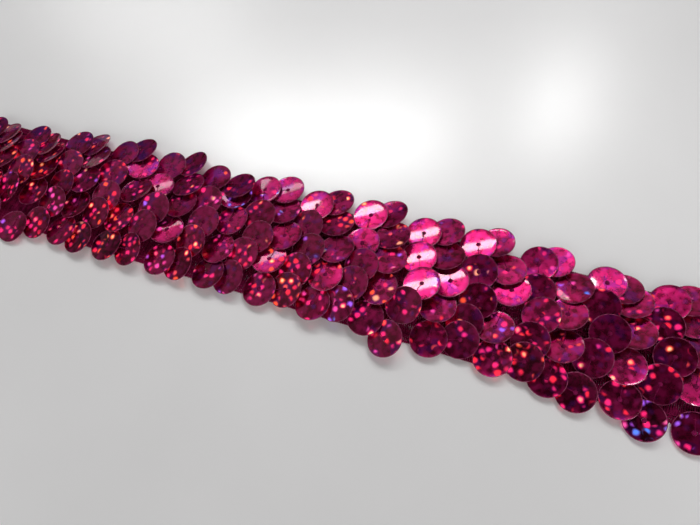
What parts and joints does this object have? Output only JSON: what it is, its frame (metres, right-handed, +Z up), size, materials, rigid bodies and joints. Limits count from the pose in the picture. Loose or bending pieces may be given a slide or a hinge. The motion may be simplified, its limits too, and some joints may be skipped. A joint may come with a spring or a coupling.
{
  "type": "sequin trim",
  "caption": "Cut length of stretch sequin trim: shingled round sequins strung in a zig-zag over knitted elastic, for sewing or gluing to a cheer hair bow or headband.",
  "frame": {"origin": "middle of the underside, on the surface that the trim lies on", "axes": "+X along the trim, +Y across it, +Z up through the sequins"},
  "size_m": [0.1424, 0.0276, 0.0045],
  "materials": {
    "sequin_film": "metallised film with holographic dots",
    "elastic": "knitted elastic yarn",
    "tack_thread": "polyester thread"
  },
  "bodies": {
    "root": {"sequin_pass_01": "sequin_film", "sequin_pass_02": "sequin_film", "sequin_pass_03": "sequin_film", "sequin_pass_04": "sequin_film", "sequin_pass_05": "sequin_film", "sequin_pass_06": "sequin_film", "sequin_pass_07": "sequin_film", "sequin_pass_08": "sequin_film", "sequin_pass_09": "sequin_film", "sequin_pass_10": "sequin_film", "sequin_pass_11": "sequin_film", "sequin_pass_12": "sequin_film", "sequin_pass_13": "sequin_film", "sequin_pass_14": "sequin_film", "sequin_pass_15": "sequin_film", "sequin_pass_16": "sequin_film", "sequin_pass_17": "sequin_film", "sequin_pass_18": "sequin_film", "sequin_pass_19": "sequin_film", "sequin_pass_20": "sequin_film", "sequin_pass_21": "sequin_film", "sequin_pass_22": "sequin_film", "sequin_pass_23": "sequin_film", "sequin_pass_24": "sequin_film", "sequin_pass_25": "sequin_film", "sequin_pass_26": "sequin_film", "sequin_pass_27": "sequin_film", "sequin_pass_28": "sequin_film", "elastic_wale_1": "elastic", "elastic_wale_2": "elastic", "elastic_wale_3": "elastic", "elastic_wale_4": "elastic", "elastic_wale_5": "elastic", "end_tack_left": "tack_thread", "end_tack_right": "tack_thread"}
  },
  "joints": []
}
